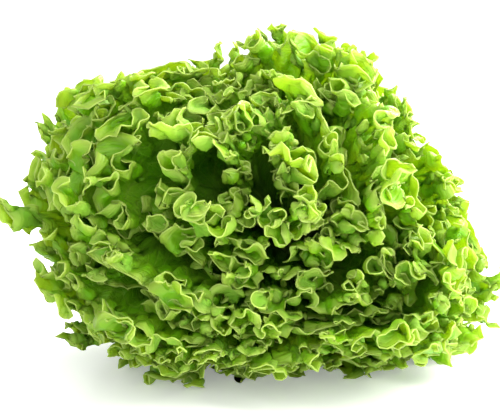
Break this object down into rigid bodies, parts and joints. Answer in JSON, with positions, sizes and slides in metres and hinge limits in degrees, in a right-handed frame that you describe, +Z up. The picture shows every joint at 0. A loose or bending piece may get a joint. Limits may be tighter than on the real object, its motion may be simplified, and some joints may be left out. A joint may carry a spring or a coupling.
{
  "type": "green leaf lettuce head",
  "caption": "Loose-leaf lettuce head: frilled green leaves in a spiral round a short cut stem, lying on its lower leaves with the open crown towards the front.",
  "frame": {"origin": "middle of the base of the head's box, on the surface it lies on", "axes": "+X is the viewer's right as the head's open crown faces the viewer, +Y runs back towards the cut stem, +Z is up"},
  "size_m": [0.2905, 0.2406, 0.1972],
  "materials": {
    "stem_flesh": "cut stem, pale green, moist",
    "leaf_01_blade": "living leaf, satin, slightly translucent",
    "leaf_02_blade": "living leaf, satin, slightly translucent",
    "leaf_03_blade": "living leaf, satin, slightly translucent",
    "leaf_04_blade": "living leaf, satin, slightly translucent",
    "leaf_05_blade": "living leaf, satin, slightly translucent",
    "leaf_06_blade": "living leaf, satin, slightly translucent",
    "leaf_07_blade": "living leaf, satin, slightly translucent",
    "leaf_08_blade": "living leaf, satin, slightly translucent",
    "leaf_09_blade": "living leaf, satin, slightly translucent",
    "leaf_10_blade": "living leaf, satin, slightly translucent",
    "leaf_11_blade": "living leaf, satin, slightly translucent",
    "leaf_12_blade": "living leaf, satin, slightly translucent",
    "leaf_13_blade": "living leaf, satin, slightly translucent",
    "leaf_14_blade": "living leaf, satin, slightly translucent",
    "leaf_15_blade": "living leaf, satin, slightly translucent",
    "leaf_16_blade": "living leaf, satin, slightly translucent",
    "leaf_17_blade": "living leaf, satin, slightly translucent",
    "leaf_18_blade": "living leaf, satin, slightly translucent",
    "leaf_19_blade": "living leaf, satin, slightly translucent",
    "leaf_20_blade": "living leaf, satin, slightly translucent",
    "leaf_21_blade": "living leaf, satin, slightly translucent",
    "leaf_22_blade": "living leaf, satin, slightly translucent",
    "leaf_23_blade": "living leaf, satin, slightly translucent",
    "leaf_24_blade": "living leaf, satin, slightly translucent",
    "leaf_25_blade": "living leaf, satin, slightly translucent",
    "leaf_26_blade": "living leaf, satin, slightly translucent",
    "leaf_27_blade": "living leaf, satin, slightly translucent",
    "leaf_28_blade": "living leaf, satin, slightly translucent",
    "leaf_29_blade": "living leaf, satin, slightly translucent",
    "leaf_30_blade": "living leaf, satin, slightly translucent",
    "leaf_31_blade": "living leaf, satin, slightly translucent",
    "leaf_32_blade": "living leaf, satin, slightly translucent",
    "leaf_33_blade": "living leaf, satin, slightly translucent",
    "leaf_34_blade": "living leaf, satin, slightly translucent",
    "leaf_35_blade": "living leaf, satin, slightly translucent",
    "leaf_36_blade": "living leaf, satin, slightly translucent",
    "leaf_37_blade": "living leaf, satin, slightly translucent",
    "leaf_38_blade": "living leaf, satin, slightly translucent",
    "leaf_39_blade": "living leaf, satin, slightly translucent",
    "leaf_40_blade": "living leaf, satin, slightly translucent",
    "leaf_41_blade": "living leaf, satin, slightly translucent",
    "leaf_42_blade": "living leaf, satin, slightly translucent",
    "leaf_43_blade": "living leaf, satin, slightly translucent",
    "leaf_44_blade": "living leaf, satin, slightly translucent",
    "leaf_45_blade": "living leaf, satin, slightly translucent",
    "leaf_46_blade": "living leaf, satin, slightly translucent",
    "leaf_47_blade": "living leaf, satin, slightly translucent",
    "leaf_48_blade": "living leaf, satin, slightly translucent",
    "leaf_49_blade": "living leaf, satin, slightly translucent",
    "leaf_50_blade": "living leaf, satin, slightly translucent",
    "leaf_51_blade": "living leaf, satin, slightly translucent",
    "leaf_52_blade": "living leaf, satin, slightly translucent",
    "leaf_53_blade": "living leaf, satin, slightly translucent",
    "leaf_54_blade": "living leaf, satin, slightly translucent",
    "leaf_55_blade": "living leaf, satin, slightly translucent",
    "leaf_56_blade": "living leaf, satin, slightly translucent"
  },
  "bodies": {
    "root": {"cut_stem": "stem_flesh", "leaf_01": "leaf_01_blade", "leaf_02": "leaf_02_blade", "leaf_03": "leaf_03_blade", "leaf_04": "leaf_04_blade", "leaf_05": "leaf_05_blade", "leaf_06": "leaf_06_blade", "leaf_07": "leaf_07_blade", "leaf_08": "leaf_08_blade", "leaf_09": "leaf_09_blade", "leaf_10": "leaf_10_blade", "leaf_11": "leaf_11_blade", "leaf_12": "leaf_12_blade", "leaf_13": "leaf_13_blade", "leaf_14": "leaf_14_blade", "leaf_15": "leaf_15_blade", "leaf_16": "leaf_16_blade", "leaf_17": "leaf_17_blade", "leaf_18": "leaf_18_blade", "leaf_19": "leaf_19_blade", "leaf_20": "leaf_20_blade", "leaf_21": "leaf_21_blade", "leaf_22": "leaf_22_blade", "leaf_23": "leaf_23_blade", "leaf_24": "leaf_24_blade", "leaf_25": "leaf_25_blade", "leaf_26": "leaf_26_blade", "leaf_27": "leaf_27_blade", "leaf_28": "leaf_28_blade", "leaf_29": "leaf_29_blade", "leaf_30": "leaf_30_blade", "leaf_31": "leaf_31_blade", "leaf_32": "leaf_32_blade", "leaf_33": "leaf_33_blade", "leaf_34": "leaf_34_blade", "leaf_35": "leaf_35_blade", "leaf_36": "leaf_36_blade", "leaf_37": "leaf_37_blade", "leaf_38": "leaf_38_blade", "leaf_39": "leaf_39_blade", "leaf_40": "leaf_40_blade", "leaf_41": "leaf_41_blade", "leaf_42": "leaf_42_blade", "leaf_43": "leaf_43_blade", "leaf_44": "leaf_44_blade", "leaf_45": "leaf_45_blade", "leaf_46": "leaf_46_blade", "leaf_47": "leaf_47_blade", "leaf_48": "leaf_48_blade", "leaf_49": "leaf_49_blade", "leaf_50": "leaf_50_blade", "leaf_51": "leaf_51_blade", "leaf_52": "leaf_52_blade", "leaf_53": "leaf_53_blade", "leaf_54": "leaf_54_blade", "leaf_55": "leaf_55_blade", "leaf_56": "leaf_56_blade"}
  },
  "joints": []
}
